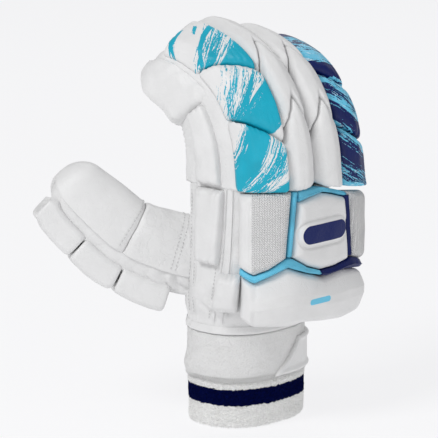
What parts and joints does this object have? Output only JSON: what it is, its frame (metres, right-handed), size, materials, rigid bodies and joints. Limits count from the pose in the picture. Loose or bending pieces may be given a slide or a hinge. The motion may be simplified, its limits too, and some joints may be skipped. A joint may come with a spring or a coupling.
{
  "type": "cricket batting glove",
  "caption": "right-hand batting glove with segmented finger rolls, padded back, hood over the thumb, hollow fingers and a towelling cuff with a wrist strap",
  "frame": {"origin": "the middle of the cuff's lower rim, where the wrist goes in", "axes": "+Z from the wrist to the fingertips, -Y the back of the hand, -X the thumb's side"},
  "size_m": [0.1699, 0.1657, 0.267],
  "materials": {
    "white_leather": "smooth white coated leather, satin, with fine creases and stitched seams",
    "print_teal": "white coated leather printed with dry teal brush strokes",
    "print_sky": "sky-blue coated leather printed with dry navy brush bands",
    "trim_sky": "folded sky-blue leather trim, satin",
    "trim_navy": "folded navy leather trim, satin",
    "towelling": "white terry towelling with one knitted navy stripe",
    "loop_fabric": "white brushed loop fabric of the wrist strap"
  },
  "bodies": {
    "root": {"stall_index": "white_leather", "roll_index_1": "print_teal", "roll_index_2": "print_teal", "roll_index_3": "print_teal", "stall_middle": "white_leather", "roll_middle_1": "white_leather", "roll_middle_2": "white_leather", "roll_middle_3": "white_leather", "stall_ring": "white_leather", "roll_ring_1": "white_leather", "roll_ring_2": "white_leather", "roll_ring_3": "white_leather", "stall_little": "white_leather", "roll_little_1": "print_sky", "roll_little_2": "print_sky", "roll_little_3": "print_sky", "hand_shell": "white_leather", "thumb_stall": "white_leather", "thumb_hood": "white_leather", "thumb_base": "white_leather", "roll_thumb_1": "white_leather", "roll_thumb_2": "white_leather", "roll_thumb_3": "white_leather", "side_tip": "white_leather", "side_finger": "white_leather", "side_hand": "white_leather", "side_wrist": "white_leather", "block_index": "white_leather", "pad_centre": "white_leather", "block_little": "white_leather", "bar_wrist": "white_leather", "hem_band": "white_leather", "trim_sky_side": "trim_sky", "trim_sky_top": "trim_sky", "trim_sky_low": "trim_sky", "trim_navy_side": "trim_navy", "trim_navy_low": "trim_navy", "cuff": "towelling", "strap": "loop_fabric", "strap_tab": "loop_fabric"}
  },
  "joints": []
}
